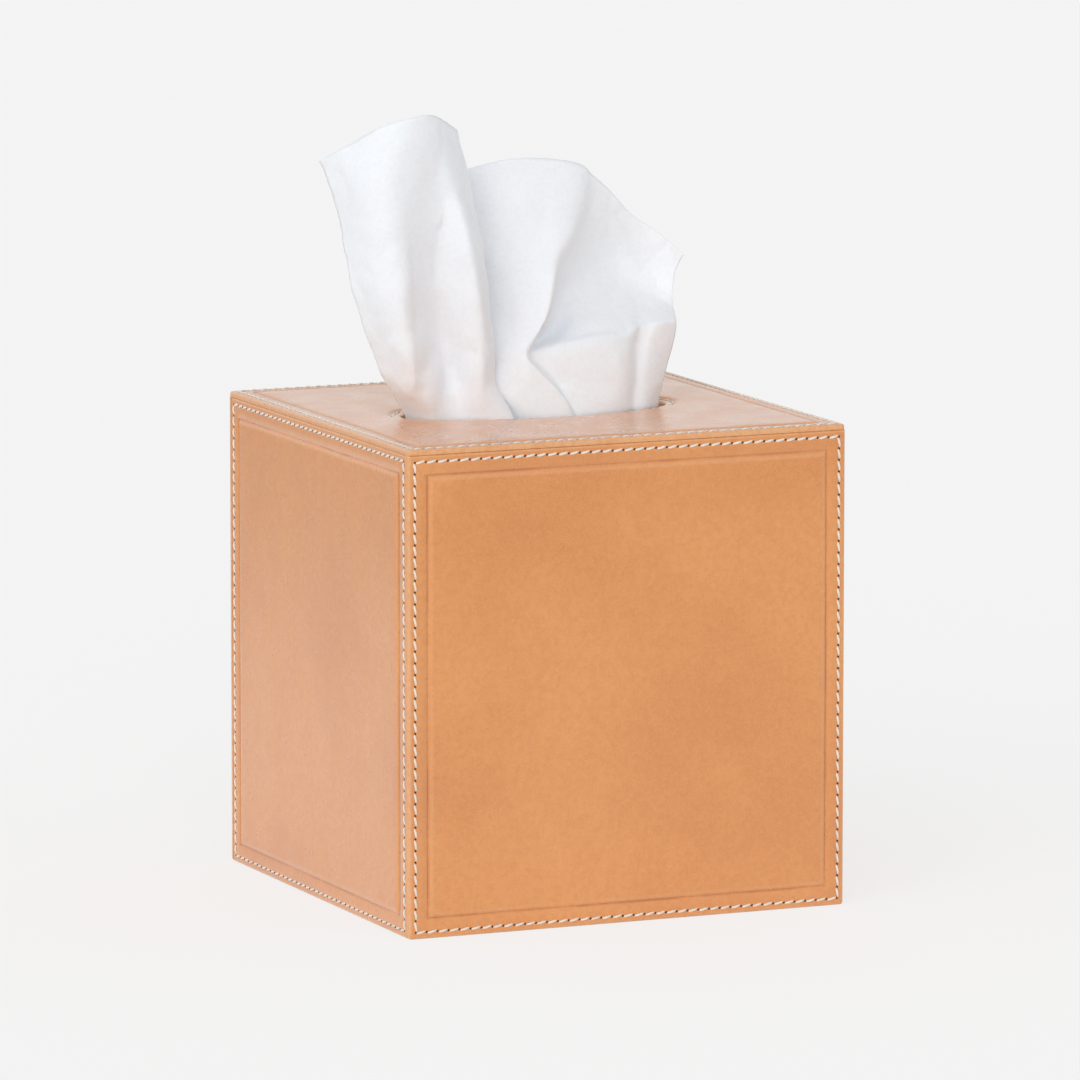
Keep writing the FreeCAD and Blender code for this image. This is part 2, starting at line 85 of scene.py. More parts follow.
# Points that the tissue passes through, in millimetres from its left edge to its right edge
TISSUE_TAIL = (
    (-18.9, -0.6), (-12.3, -0.6), (-4.6, -0.6), (3.9, -0.6), (12.3, -0.6), (18.5, -0.6), (18.9, -0.36),
    (-18.9, -0.24), (-18.5, -0.06), (0, 0), (18.9, 0.06), (18.5, 0.24), (0, 0.3), (-18.9, 0.36),
    (-18.5, 0.54), (0, 0.6), (18.9, 0.6),
)
TISSUE_MOUTH = (
    (-38.4, 1), (-36.8, -5), (-33, -8.4), (-27.5, -9.5), (-22, -13.4), (-13.7, -15.2), (-12.5, -11),
    (-15, -6), (-12, -10), (-5.5, -14.6), (4.6, -15.6), (6.2, -14.2), (9.5, -14.8), (20.5, -13.5),
    (25.5, -11), (29.5, -10.3), (36, -4.5),
)
TISSUE_ROWS = (
    ((-44.5, -1, 142), (-42.5, -8, 142), (-37, -12, 142.5), (-28, -8.5, 142), (-23, -14.5, 141.5),
     (-17, -13, 143), (-16.5, -9, 142.5), (-21, -4, 141), (-17.5, -9, 141.5), (-11, -12.5, 142),
     (-1, -14.4, 143.5), (1.5, -12.2, 144), (7.5, -13, 141.5), (19.5, -14, 137.5), (26, -10, 138.5),
     (29.5, -10, 138), (37, -5.5, 139)),
    ((-49, 0, 152.5), (-46.5, -8.5, 153), (-41, -13, 153), (-29.5, -7.5, 152.5), (-22.5, -14, 152.5),
     (-16.5, -11.5, 152), (-16.5, -7.5, 151.5), (-22.5, -1, 151.5), (-18, -4.5, 151.5),
     (-11, -9.5, 151), (-10, -11.6, 151.5), (-5, -9.2, 151.5), (3, -11, 151.5), (21, -12, 150.5),
     (28, -7.5, 149.5), (32, -8, 149.5), (40.5, -4.5, 149)),
    ((-53, 2, 166.5), (-50, -8, 166.5), (-43.5, -13.5, 167), (-31.5, -7, 166.5), (-23.5, -13.5, 166),
     (-18, -10.5, 166), (-17.5, -5.5, 166), (-24, 3, 165), (-17, 1.5, 164.5), (-8.5, -5, 162.5),
     (-2, -8.5, 159.5), (5.5, 0, 156.5), (9, -3.5, 156.5), (24, -5, 157.5), (31, -3.2, 157),
     (35.5, -3.8, 157), (42, -2.5, 156.5)),
    ((-55, 5, 181.5), (-52.5, -7, 182), (-44.5, -13, 182.5), (-32, -7.5, 182), (-25.5, -12.5, 183.5),
     (-19.5, -9, 182), (-19.5, -4, 182), (-26.5, 5, 180.5), (-18, 5, 179.5), (-6, -1.5, 175),
     (4, -5.2, 174), (12, 3, 172), (19.5, 8, 170), (28, 9.5, 168), (36.5, 9, 165.5), (40.5, 7.5, 163.5),
     (44.5, 5, 162)),
    ((-57, 9, 195.5), (-54.5, -5, 198), (-47, -12, 199.5), (-35, -9.5, 199.5), (-28, -8, 200.5),
     (-21.5, -4, 197.5), (-21, 0, 198.5), (-28, 7, 195), (-18.5, 8, 190.5), (-5, 2, 188),
     (11, -0.3, 186), (17.5, 4.2, 184), (24, 8, 182), (31.5, 10, 178.5), (38.5, 9.5, 174.5),
     (42.5, 8, 171.5), (45.5, 5.5, 169)),
    ((-59.5, 12, 204), (-55, 0, 210), (-48.5, -8.5, 215.5), (-41, -11, 217.5), (-33, -9, 217.5),
     (-24.5, -2.5, 213), (-24.5, 1.5, 211), (-30, 8, 202), (-19.5, 10, 199.5), (-4.5, 5, 203),
     (14, 4.2, 201.5), (20, 5.2, 198), (26, 7, 193), (33.5, 8.5, 185.5), (39.5, 7.5, 181),
     (43, 5, 177.5), (46.5, 2, 174)),
)

# Sharp folds: the column and row where one starts, where it ends, and how sharp it is
TISSUE_CREASES = (
    ((10, 5), (10, 6), 0.8), ((10, 6), (10, 7), 0.9), ((10, 7), (10, 8), 0.8), ((10, 8), (10, 9), 0.5),
    ((10, 9), (10, 10), 0.2), ((11, 5), (11, 6), 0.4), ((11, 6), (11, 7), 0.5), ((11, 8), (12, 8), 0.3),
    ((12, 8), (13, 8), 0.5), ((13, 8), (14, 8), 0.5), ((14, 8), (15, 8), 0.5), ((15, 8), (16, 8), 0.5),
    ((3, 6), (3, 7), 0.3), ((3, 7), (3, 8), 0.3),
)

# A fold pushes the tissue towards the front along a line of x and z points, in millimetres,
# and fades with the distance to the left and to the right of the line
Fold = namedtuple("Fold", "first_column last_column push left_reach right_reach line")
TISSUE_FOLDS = (
    Fold(9.6, 16, 0.5, 1.5, 4, ((30.5, 181.5), (35, 171.5), (40, 166))),
    Fold(11.2, 16, 0.5, 0.6, 4, ((3, 141), (8, 139), (15, 136.5))),
    Fold(0, 5, 0.45, 0.7, 4, ((-42, 178), (-41.5, 153.5), (-41, 139.5))),
    Fold(0, 5, -0.9, 2.5, 2.5, ((-38, 147), (-37, 140))),
    Fold(0, 5, -0.9, 4, 1.6, ((-31.5, 185.5), (-32, 179), (-31.5, 166.5), (-29.5, 154), (-28, 142))),
    Fold(0, 5, 0.5, 1, 5, ((-50.5, 210.5), (-53.5, 195), (-55, 185.5))),
)

# The neck's share of the mouth's shape, the rest being the tail's, the sharpness from which a fold keeps
# its own points, and how often the cage is fitted to its points
NECK_SHARE = 0.78
FIRM_CREASE = 0.9
FIT_ROUNDS = 40

# Height over the opening at which the tissue is free to crinkle, and its crinkles: millimetres, scale, kind
FREE_RISE = 8 * MM
CRINKLES = (
    (0.3, 70.0, "PERLIN_ORIGINAL"),
    (0.1, 210.0, "PERLIN_ORIGINAL"),
    (0.5, 60.0, "VORONOI_F2F1"),
    (0.2, 150.0, "VORONOI_F2F1"),
)

# A cloud is a soft noise in a material. A tint sets in between two levels of its cloud, up to a share,
# and may name the setting with its colour. A bump raises the shading by its cloud.
Cloud = namedtuple("Cloud", "scale detail roughness stretch", defaults=(4.0, 0.55, (1, 1, 1)))
Tint = namedtuple("Tint", "cloud low high share colour", defaults=(1.0, None))
Bump = namedtuple("Bump", "cloud distance strength")
LEATHER_TINTS = (
    Tint(Cloud(17.0, 5.0), 0.38, 0.72, 0.65, "patch_colour"),
    Tint(Cloud(420.0, 3.0, stretch=(1, 1, 0.12)), 0.45, 0.95, 0.3, "patch_colour"),
    Tint(Cloud(620.0, 4.0, 0.7), 0.36, 0.66, 0.42, "patch_colour"),
    Tint(Cloud(1500.0, 2.0), 0.62, 0.8, 0.14, "pore_colour"),
    Tint(Cloud(2400.0, 1.0), 0.42, 0.7, 0.3, "speck_colour"),
)


# Kinds of settings

def length_setting(name, description, default):
    """Return a setting in metres."""
    return FloatProperty(name=name, description=description, default=default, unit="LENGTH")


def angle_setting(name, description, degrees):
    """Return a setting for a turn that is given in degrees."""
    return FloatProperty(name=name, description=description, default=math.radians(degrees), subtype="ANGLE")


def share_setting(name, description, default):
    """Return a setting from 0 to 1."""
    return FloatProperty(name=name, description=description, default=default, min=0, max=1, subtype="FACTOR")


def colour_setting(name, description, default):
    """Return a setting for a colour."""
    return FloatVectorProperty(name=name, description=description, default=default, subtype="COLOR")


# Settings

class LeatherSettings(PropertyGroup):
    """Shape and colours of the five leather panels."""

    rim_drop: length_setting("Rim drop", "How far the leather rolls down round the opening", 0.6 * MM)
    edge_round: length_setting("Edge round", "Radius of the burnished panel edges", 0.7 * MM)
    foot_round: length_setting("Foot round", "Radius of the walls' lower corners", 0.9 * MM)
    corner_round: length_setting("Corner round", "Radius of the top panel's corners", 1.2 * MM)
    groove_depth: length_setting("Stitch groove", "How deep the thread pulls the leather in", 0.12 * MM)
    groove_width: length_setting("Groove width", "Half the width of the stitch groove", 0.7 * MM)
    crease_inset: length_setting("Crease inset", "Distance of the creased line from the edge", 5.6 * MM)
    crease_width: length_setting("Crease width", "Half the width of the creased line", 0.5 * MM)
    crease_depth: length_setting("Crease depth", "Depth of the creased line", 0.3 * MM)
    middle_rise: length_setting("Middle rise", "How far a panel's middle stands above its border", 0.2 * MM)
    unevenness: length_setting("Unevenness", "How far a panel's middle waves up and down", 0.1 * MM)
    grid_step: length_setting("Grid step", "Size of the faces in a panel's middle", 3.2 * MM)
    face_colour: colour_setting("Face", "Main tan of the leather", (0.76, 0.318, 0.097))
    patch_colour: colour_setting("Patches", "Deeper tan of the cloudy patches", (0.62, 0.217, 0.061))
    pore_colour: colour_setting("Pores", "Brown of the fine pores", (0.34, 0.12, 0.035))
    speck_colour: colour_setting("Specks", "Lighter tan of the raised grain", (0.83, 0.4, 0.145))
    # Paler tan of the edges, partly rubbed and partly painted highlight on their round; it is also the
    # painted highlight on the crease shoulder
    edge_and_highlight_colour: colour_setting("Edge", "Paler tan of the rubbed edges", (0.78, 0.42, 0.2))
    # Painted shade: the darker tan laid into the crease stands for its shadow
    crease_shade_colour: colour_setting("Crease", "Darker line pressed into the crease", (0.5, 0.165, 0.045))
    polish: share_setting("Polish", "Share of clear wax polish on the leather", 0.75)
    roughness: share_setting("Roughness", "Roughness of the polished grain side", 0.28)


class ThreadSettings(PropertyGroup):
    """Size and colours of the stitching."""

    edge_inset: length_setting("Row inset", "Distance of a stitch row from the panel's edge", 1.9 * MM)
    ring_inset: length_setting("Ring inset", "Distance of the stitch ring from the opening", 2.2 * MM)
    pitch: length_setting("Pitch", "Distance between needle holes", 3.25 * MM)
    length: length_setting("Length", "Length of one stitch", 2.7 * MM)
    width: length_setting("Width", "Width of the thread", 0.68 * MM)
    height: length_setting("Height", "How far a stitch stands above the leather", 0.36 * MM)
    slant: angle_setting("Slant", "Turn of each stitch from its row", 13)
    hole_slant: angle_setting("Hole slant", "Turn of each needle hole from its stitches", 40)
    colour: colour_setting("Thread", "Cream of the waxed thread", (0.9, 0.84, 0.75))
    hole_shadow_colour: colour_setting("Needle hole", "Shadow in the needle holes", (0.07, 0.022, 0.008))


class RefillSettings(PropertyGroup):
    """Colours of the cover's inner shell, and size and colours of the refill inside."""

    carton_colour: colour_setting("Carton", "White of the plain paperboard", (0.84, 0.84, 0.82))
    fold_colour: colour_setting("Folds", "Slightly worn white of the carton's folds", (0.74, 0.74, 0.72))
    fold_round: length_setting("Fold round", "Radius of the carton's folds", 0.9 * MM)
    board_colour: colour_setting("Board", "Brown of the stiffening board", (0.4, 0.31, 0.22))
    lining_colour: colour_setting("Lining", "Brown of the suede lining", (0.5, 0.31, 0.18))
    stack_colour: colour_setting("Stack", "White of the folded tissues", (0.86, 0.86, 0.87))
    layer_count: IntProperty(
        name="Layers", description="Number of folded layers in the stack", default=30, min=4, max=60)
    layer_thickness: length_setting("Layer thickness", "Thickness of one folded layer", 1.2 * MM)
    lap_width: length_setting("Lap width", "Width of the glued lap on the carton's back", 14 * MM)
    lap_thickness: length_setting("Lap thickness", "Thickness of the glued lap", 0.4 * MM)


class TissueSettings(PropertyGroup):
    """Size and colour of the tissue that stands in the opening."""

    flat_width: length_setting("Flat width", "Width of the unfolded tissue", 0.2)
    flat_length: length_setting("Flat length", "Length of the unfolded tissue", 0.2)
    thickness: length_setting("Thickness", "Thickness of the soft paper", 0.22 * MM)
    smoothing: IntProperty(
        name="Smoothing", description="How often the cage is divided", default=4, min=1, max=5)
    colour: colour_setting("Paper", "White of the soft paper", (0.875, 0.91, 0.955))


class StageSettings(PropertyGroup):
    """Floor, light and camera."""

    floor_colour: colour_setting("Floor", "Pale grey of the floor", (0.888, 0.888, 0.888))
    floor_glow: share_setting("Floor glow", "Grey level of the floor's unshaded share", 1.0)
    far_glow: share_setting("Far glow", "Share of the glow that leather mirrors from the far floor", 0.4)
    fade_start: length_setting("Fade start", "Distance from the cover at which the mirrored glow fades", 0.3)
    fade_end: length_setting("Fade end", "Distance from the cover at which the far glow is reached", 0.95)
    floor_half: length_setting("Floor half", "Half the floor's side", 9.0)
    shadow_share: share_setting("Shadow share", "How much of the soft shadow the floor shows", 0.3)
    side_strength: FloatProperty(
        name="Side light", description="Strength of the even studio light near the horizon", default=0.95)
    ceiling_strength: FloatProperty(
        name="Ceiling light", description="Strength of the even studio light overhead", default=0.42)
    key_strength: FloatProperty(name="Key", description="Strength of the soft main lamp", default=1.68)
    key_spread: angle_setting("Key spread", "Angle under which the main lamp appears", 70)
    camera_turn: angle_setting("Camera turn", "Direction of the camera round the cover", -23.56)
    camera_rise: angle_setting("Camera rise", "Height of the camera over the horizon", 8.64)
    camera_distance: length_setting("Camera distance", "Distance from the camera to its target", 2.6991)
    target_side: length_setting("Target side", "How far right of the axis the camera looks", 0.0018)
    target_height: length_setting("Target height", "Height at which the camera looks", 0.0967)
    lens: FloatProperty(name="Lens", description="Focal length in millimetres", default=323.5)


class CoverSettings(PropertyGroup):
    """All settings of the tissue box cover."""

    leather: PointerProperty(type=LeatherSettings)
    thread: PointerProperty(type=ThreadSettings)
    refill: PointerProperty(type=RefillSettings)
    tissue: PointerProperty(type=TissueSettings)
    stage: PointerProperty(type=StageSettings)


# Nodes of a material

def new_material(name):
    """Return a new material, its node tree and its main shader."""
    material = bpy.data.materials.new(name)
    material.use_nodes = True
    tree = material.node_tree
    return material, tree, tree.nodes["Principled BSDF"]


def feed(tree, target, source):
    """Give an input a plain value or link a socket to it."""
    if isinstance(source, bpy.types.NodeSocket):
        tree.links.new(source, target)
    else:
        target.default_value = source


def set_inputs(tree, node, values):
    """Feed a node's inputs by their names or numbers."""
    for name, value in values.items():
        feed(tree, node.inputs[name], value)


def add_node(tree, kind, values=None, **settings):
    """Add a node, set its own settings by name and feed its inputs."""
    made = tree.nodes.new(kind)
    for name, value in settings.items():
        setattr(made, name, value)
    set_inputs(tree, made, values or {})
    return made


def opaque(colour):
    """Return a colour with full cover."""
    return (colour[0], colour[1], colour[2], 1.0)


def shaded(colour, share):
    """Return a colour with a share of its brightness."""
    return [value * share for value in colour]


def object_place(tree, stretch=(1, 1, 1)):
    """Return the piece's own coordinates, multiplied by stretch."""
    coordinates = add_node(tree, "ShaderNodeTexCoord")
    values = {"Vector": coordinates.outputs["Object"], "Scale": stretch}
    return add_node(tree, "ShaderNodeMapping", values).outputs["Vector"]


def cloud(tree, pattern):
    """Return the strength of a cloud, from 0 to 1."""
    made = add_node(tree, "ShaderNodeTexNoise", {
        "Vector": object_place(tree, pattern.stretch), "Scale": pattern.scale, "Detail": pattern.detail,
        "Roughness": pattern.roughness})
    return made.outputs["Fac"]


def span(tree, source, low, high, to_low=0.0, to_high=1.0):
    """Return a value that goes smoothly from to_low to to_high while source goes from low to high."""
    values = {"Value": source, "From Min": low, "From Max": high, "To Min": to_low, "To Max": to_high}
    return add_node(tree, "ShaderNodeMapRange", values, interpolation_type="SMOOTHSTEP").outputs["Result"]


def sum_up(tree, operation, first, second):
    """Return a sum, product or other plain operation on a socket and a socket or number."""
    return add_node(tree, "ShaderNodeMath", {0: first, 1: second}, operation=operation).outputs["Value"]


def blend_colours(tree, share, first, second):
    """Return the mix of two colours, each a colour or a socket, by the socket share."""
    made = add_node(tree, "ShaderNodeMix", data_type="RGBA")
    tree.links.new(share, made.inputs["Factor"])
    sockets = [item for item in made.inputs if item.type == "RGBA"]
    for socket, colour in zip(sockets, (first, second)):
        feed(tree, socket, colour if isinstance(colour, bpy.types.NodeSocket) else opaque(colour))
    return next(item for item in made.outputs if item.type == "RGBA")


def add_bump(tree, shader, height, distance, strength, below=None):
    """Raise the surface's shading by a height socket, on top of another bump."""
    values = {"Height": height, "Distance": distance, "Strength": strength}
    if below is not None:
        values["Normal"] = below.outputs["Normal"]
    bump = add_node(tree, "ShaderNodeBump", values)
    tree.links.new(bump.outputs["Normal"], shader.inputs["Normal"])
    return bump


def seen_or_mirrored(tree, path):
    """Return 1 for the rays that come from the camera, a polished surface or clear film."""
    seen = sum_up(tree, "MAXIMUM", path.outputs["Is Camera Ray"], path.outputs["Is Glossy Ray"])
    return sum_up(tree, "MAXIMUM", seen, path.outputs["Is Transmission Ray"])


# Finishes

def near_line(tree, inset, centre, reach_in, reach_out, share):
    """Return a share on a line at an inset from the panel's edge, which fades out on both sides."""
    distance = sum_up(tree, "ABSOLUTE", sum_up(tree, "SUBTRACT", inset, centre), 0.0)
    return span(tree, distance, reach_in, reach_out, share, 0.0)


def leather_finish(leather):
    """Smooth tan leather: cloudy patches, pores and specks, pale edges that are partly rubbed and partly
    painted highlight on their round, a painted highlight on the crease shoulder and a painted shade in the
    crease.
    """
    material, tree, shader = new_material("tan_leather_grain")
    colour = leather.face_colour
    for tint in LEATHER_TINTS:
        amount = span(tree, cloud(tree, tint.cloud), tint.low, tint.high, 0.0, tint.share)
        colour = blend_colours(tree, amount, colour, getattr(leather, tint.colour))
    inset = add_node(tree, "ShaderNodeAttribute", attribute_name="inset").outputs["Fac"]
    # Paler edges: partly rubbed leather and partly a painted highlight on the rounded edges
    rubbed_and_highlit = span(tree, inset, 0.1 * MM, 1.1 * MM, 0.8, 0.0)
    fibres = span(tree, cloud(tree, Cloud(900.0, 3.0)), 0.35, 0.6, 0.45, 1.0)
    colour = blend_colours(tree, sum_up(tree, "MULTIPLY", rubbed_and_highlit, fibres), colour, leather.edge_and_highlight_colour)
    # Painted highlight: the raised shoulder just inside the crease is lightened towards the pale edge tan
    shoulder = leather.crease_inset + 1.1 * MM
    painted_shoulder_highlight = near_line(tree, inset, shoulder, 0.1 * MM, 0.8 * MM, 0.25)
    colour = blend_colours(tree, painted_shoulder_highlight, colour, leather.edge_and_highlight_colour)
    # Painted shade: the crease line is darkened, unevenly, where its shadow falls
    pressed = near_line(tree, inset, leather.crease_inset, 0.05 * MM, 0.6 * MM, 0.7)
    uneven = span(tree, cloud(tree, Cloud(60.0)), 0.35, 0.65, 0.1, 1.0)
    colour = blend_colours(tree, sum_up(tree, "MULTIPLY", pressed, uneven), colour, leather.crease_shade_colour)
    smoothest = leather.roughness - 0.05
    roughest = leather.roughness + 0.08
    worn = span(tree, cloud(tree, Cloud(90.0)), 0.3, 0.7, smoothest, roughest)
    set_inputs(tree, shader, {
        "Base Color": colour, "Roughness": worn, "Specular IOR Level": 0.5, "Coat Weight": leather.polish,
        "Coat Roughness": 0.22})
    grain = add_node(
        tree, "ShaderNodeTexVoronoi", {"Vector": object_place(tree), "Scale": 1300.0}, feature="SMOOTH_F1")
    bump = add_bump(tree, shader, cloud(tree, Cloud(240.0)), 0.08 * MM, 0.2)
    add_bump(tree, shader, grain.outputs["Distance"], 0.04 * MM, 0.25, bump)
    return material


def thread_finish(thread):
    """Waxed thread whose strands twist along each stitch."""
    material, tree, shader = new_material("cream_waxed_thread")
    coordinates = add_node(tree, "ShaderNodeTexCoord")
    twist = math.radians(35)
    turned = add_node(tree, "ShaderNodeMapping", {
        "Vector": coordinates.outputs["UV"], "Rotation": (0, 0, twist)})
    strands = add_node(tree, "ShaderNodeTexWave", {
        "Vector": turned.outputs["Vector"], "Scale": 1.6, "Distortion": 0.6, "Detail": 2.0}).outputs["Fac"]
    darker = shaded(thread.colour, 0.72)
    colour = blend_colours(tree, span(tree, strands, 0.0, 0.5, 0.55, 0.0), thread.colour, darker)
    dust = span(tree, cloud(tree, Cloud(130.0)), 0.45, 0.75, 0.0, 0.3)
    colour = blend_colours(tree, dust, colour, darker)
    set_inputs(tree, shader, {"Base Color": colour, "Roughness": 0.62, "Sheen Weight": 0.15})
    add_bump(tree, shader, strands, 0.1 * MM, 0.6)
    return material


def plain_finish(name, colour, shade, tints, values, bumps):
    """Return a material whose colour is tinted towards a shade of itself and whose surface has bumps."""
    material, tree, shader = new_material(name)
    mixed = opaque(colour)
    for tint in tints:
        amount = span(tree, cloud(tree, tint.cloud), tint.low, tint.high, 0.0, tint.share)
        mixed = blend_colours(tree, amount, mixed, shaded(colour, shade))
    set_inputs(tree, shader, {"Base Color": mixed, **values})
    below = None
    for bump in bumps:
        below = add_bump(tree, shader, cloud(tree, bump.cloud), bump.distance, bump.strength, below)
    return material


def hole_shadow_finish(thread):
    """Painted shade: a dark material for the lenses that stand for the shadow inside a needle hole."""
    return plain_finish(
        "needle_hole_shadow", thread.hole_shadow_colour, 0.5, [Tint(Cloud(900.0), 0.3, 0.7)], {"Roughness": 0.9}, [])


def board_finish(refill):
    """Grey-brown fibre board with loose flecks."""
    return plain_finish(
        "stiff_fibre_board", refill.board_colour, 0.6, [Tint(Cloud(700.0, 6.0), 0.4, 0.7)],
        {"Roughness": 0.85}, [Bump(Cloud(900.0, 5.0), 0.1 * MM, 0.5)])


def lining_finish(refill):
    """Short-napped suede that is brushed lighter and darker."""
    brushed = Cloud(45.0, 5.0, stretch=(1, 1, 0.4))
    nap = Cloud(2200.0, 3.0)
    return plain_finish(
        "brown_suede_lining", refill.lining_colour, 0.72,
        [Tint(brushed, 0.35, 0.68), Tint(nap, 0.45, 0.75, 0.5)],
        {"Roughness": 0.95, "Sheen Weight": 0.35, "Sheen Roughness": 0.5}, [Bump(nap, 0.15 * MM, 0.6)])


def carton_finish(name, colour):
    """Plain white paperboard with a faint fibre."""
    fibre = Cloud(1400.0, stretch=(1, 1, 0.5))
    return plain_finish(
        name, colour, 0.96, [Tint(fibre, 0.35, 0.7)], {"Roughness": 0.55},
        [Bump(Cloud(45.0), 0.3 * MM, 0.2), Bump(fibre, 0.02 * MM, 0.25)])


def film_finish():
    """Thin clear film with slight waves."""
    return plain_finish(
        "clear_film_sheet", (0.96, 0.97, 0.98), 1.0, [], {"Roughness": 0.08, "Alpha": 0.22},
        [Bump(Cloud(55.0, 2.0), 0.6 * MM, 0.5)])


def stack_finish(refill):
    """Folded tissues seen on their edges, one soft layer over another."""
    layers = Cloud(900.0, 3.0, stretch=(0.06, 0.06, 1))
    gap_shade = 0.8
    return plain_finish(
        "folded_tissue_layers", shaded(refill.stack_colour, gap_shade), 1 / gap_shade,
        [Tint(layers, 0.35, 0.65)], {"Roughness": 0.95}, [Bump(layers, 0.4 * MM, 0.7)])


def tissue_finish(tissue):
    """Soft white paper that lets some light through, with a fine emboss."""
    fibres = Cloud(900.0, 5.0, 0.65)
    values = {
        "Roughness": 0.9, "Specular IOR Level": 0.2, "Sheen Weight": 0.1, "Subsurface Weight": 0.2,
        "Subsurface Radius": (2 * MM, 2 * MM, 2.2 * MM), "Subsurface Scale": 1.0}
    return plain_finish(
        "soft_white_tissue", tissue.colour, 0.965, [Tint(fibres, 0.4, 0.7)], values,
        [Bump(Cloud(170.0, 3.0), 0.2 * MM, 0.25), Bump(fibres, 0.1 * MM, 0.5)])


def floor_finish(stage):
    """Pale floor that looks even, keeps part of the soft shadow and is mirrored darker from far away."""
    material, tree, shader = new_material("pale_floor")
    set_inputs(tree, shader, {
        "Base Color": opaque(stage.floor_colour), "Roughness": 0.9, "Specular IOR Level": 0.0})
    path = add_node(tree, "ShaderNodeLightPath")
    reach = add_node(tree, "ShaderNodeVectorMath", {0: object_place(tree)}, operation="LENGTH")
    fading = span(tree, reach.outputs["Value"], stage.fade_start, stage.fade_end, 1.0, stage.far_glow)
    fading = sum_up(tree, "MAXIMUM", fading, path.outputs["Is Camera Ray"])
    glow = add_node(tree, "ShaderNodeEmission", {
        "Color": opaque(WHITE), "Strength": sum_up(tree, "MULTIPLY", fading, stage.floor_glow)})
    share = sum_up(tree, "MULTIPLY", seen_or_mirrored(tree, path), 1.0 - stage.shadow_share)
    mixed = add_node(tree, "ShaderNodeMixShader", {
        "Fac": share, 1: shader.outputs["BSDF"], 2: glow.outputs["Emission"]})
    tree.links.new(mixed.outputs["Shader"], tree.nodes["Material Output"].inputs["Surface"])
    return material


# Shapes

def add_grid(bm, columns, rows, place):
    """Add a grid whose vertex in a column and row is moved to place(column, row); return them by both."""
    made = bmesh.ops.create_grid(bm, x_segments=columns, y_segments=rows, size=0.5, calc_uvs=True)
    grid = {}
    for vertex in made["verts"]:
        column = round((vertex.co.x + 0.5) * columns)
        row = round((vertex.co.y + 0.5) * rows)
        grid[column, row] = vertex
        vertex.co = place(column, row)
    return grid


def close_seam(bm, vertices):
    """Join the two ends of a grid that was moved into a ring."""
    bmesh.ops.remove_doubles(bm, verts=list(vertices), dist=0.002 * MM)


def new_shape():
    """Return an empty bmesh with a UV map."""
    bm = bmesh.new()
    bm.loops.layers.uv.new("UVMap")
    return bm


def mesh_of(name, bm):
    """Turn a bmesh into a mesh."""
    mesh = bpy.data.meshes.new(name)
    bm.to_mesh(mesh)
    bm.free()
    return mesh


def link_new(name, data):
    """Put a mesh, lamp or camera into the scene as a new object."""
    made = bpy.data.objects.new(name, data)
    bpy.context.scene.collection.objects.link(made)
    return made


def make_piece(name, bm, materials, body, nodes, all_smooth=True):
    """Turn a bmesh into a piece that rides on a body and may stand for CAD nodes."""
    mesh = mesh_of(name, bm)
    for material in materials:
        mesh.materials.append(material)
    if all_smooth:
        mesh.shade_smooth()
        mesh.set_sharp_from_angle(angle=SHARP_ANGLE)
    piece = link_new(name, mesh)
    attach(piece, body)
    if nodes:
        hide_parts(*nodes)
    return piece


def finish_nodes(names, material):
    """Give CAD nodes that keep their shape a finish."""
    for name in names:
        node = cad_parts[name]
        node.data.materials.clear()
        node.data.materials.append(material)


def panel_frame(side):
    """Return a leather panel's width, height, thickness and the matrix from its back face to the cover."""
    low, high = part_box("leather_" + side)
    right = Vector(PANEL_SIDES[side][0])
    up = Vector(PANEL_SIDES[side][1])
    out = right.cross(up)
    width, height, thickness = (abs((high - low).dot(axis)) for axis in (right, up, out))
    matrix = Matrix((right, up, out)).transposed().to_4x4()
    matrix.translation = (low + high) / 2 - out * thickness / 2
    return width, height, thickness, matrix


def opening_halves():
    """Return half the length and half the width of the oval opening."""
    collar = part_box("opening_collar")[1]
    return collar.x - COLLAR_WALL, collar.y - COLLAR_WALL


def dip(centre, half_width, depth, level):
    """Return (inset, height) pairs of a rounded groove."""
    pairs = []
    for share in (-1.0, -0.5, 0.0, 0.5, 1.0):
        drop = depth * (0.5 + 0.5 * math.cos(math.pi * share))
        pairs.append((centre + share * half_width, level - drop))
    return pairs


def quarter_round(radius, level):
    """Return (inset, height) pairs of a rounded edge, from the side up to a level."""
    pairs = []
    for step in range(ROUND_STEPS + 1):
        turn = math.radians(90) * step / ROUND_STEPS
        pairs.append((radius * (1 - math.cos(turn)), level - radius * (1 - math.sin(turn))))
    return pairs


def border_profile(leather, thread, thickness):
    """Return (inset, height) pairs from a panel's back edge over its round to its raised middle."""
    pairs = [(0.0, 0.0)] + quarter_round(leather.edge_round, thickness)
    pairs += dip(thread.edge_inset, leather.groove_width, leather.groove_depth, thickness)
    pairs += dip(leather.crease_inset, leather.crease_width, leather.crease_depth, thickness)
    shoulder = leather.crease_inset + 2.0 * leather.crease_width
    slope = 1.2 * MM
    pairs.append((shoulder, thickness + 0.75 * leather.middle_rise))
    pairs.append((shoulder + slope, thickness + leather.middle_rise))
    return pairs


def panel_lines(length, insets, step):
    """Return the places of a panel's grid lines along one side, close together at both edges."""
    half = length / 2
    inner = half - insets[-1]
    count = max(2, round(2 * inner / step))
    middle = [-inner + 2 * inner * number / count for number in range(1, count)]
    edge = [half - inset for inset in insets]
    return [-place for place in edge] + middle + edge[::-1]


def rounded_corner(x, y, half_width, half_height, radius):
    """Move a point near a square corner onto the round of that corner."""
    across = abs(x) - (half_width - radius)
    along = abs(y) - (half_height - radius)
    if across <= 0 or along <= 0:
        return x, y
    shrink = max(across, along) / math.hypot(across, along)
    x = math.copysign(half_width - radius + across * shrink, x)
    y = math.copysign(half_height - radius + along * shrink, y)
    return x, y


def middle_level(leather, thickness, x, y, seed):
    """Return the height of a panel's slightly uneven middle."""
    wave = noise.noise(Vector((x, y, seed)) * WAVE_SCALE)
    return thickness + leather.middle_rise + leather.unevenness * wave


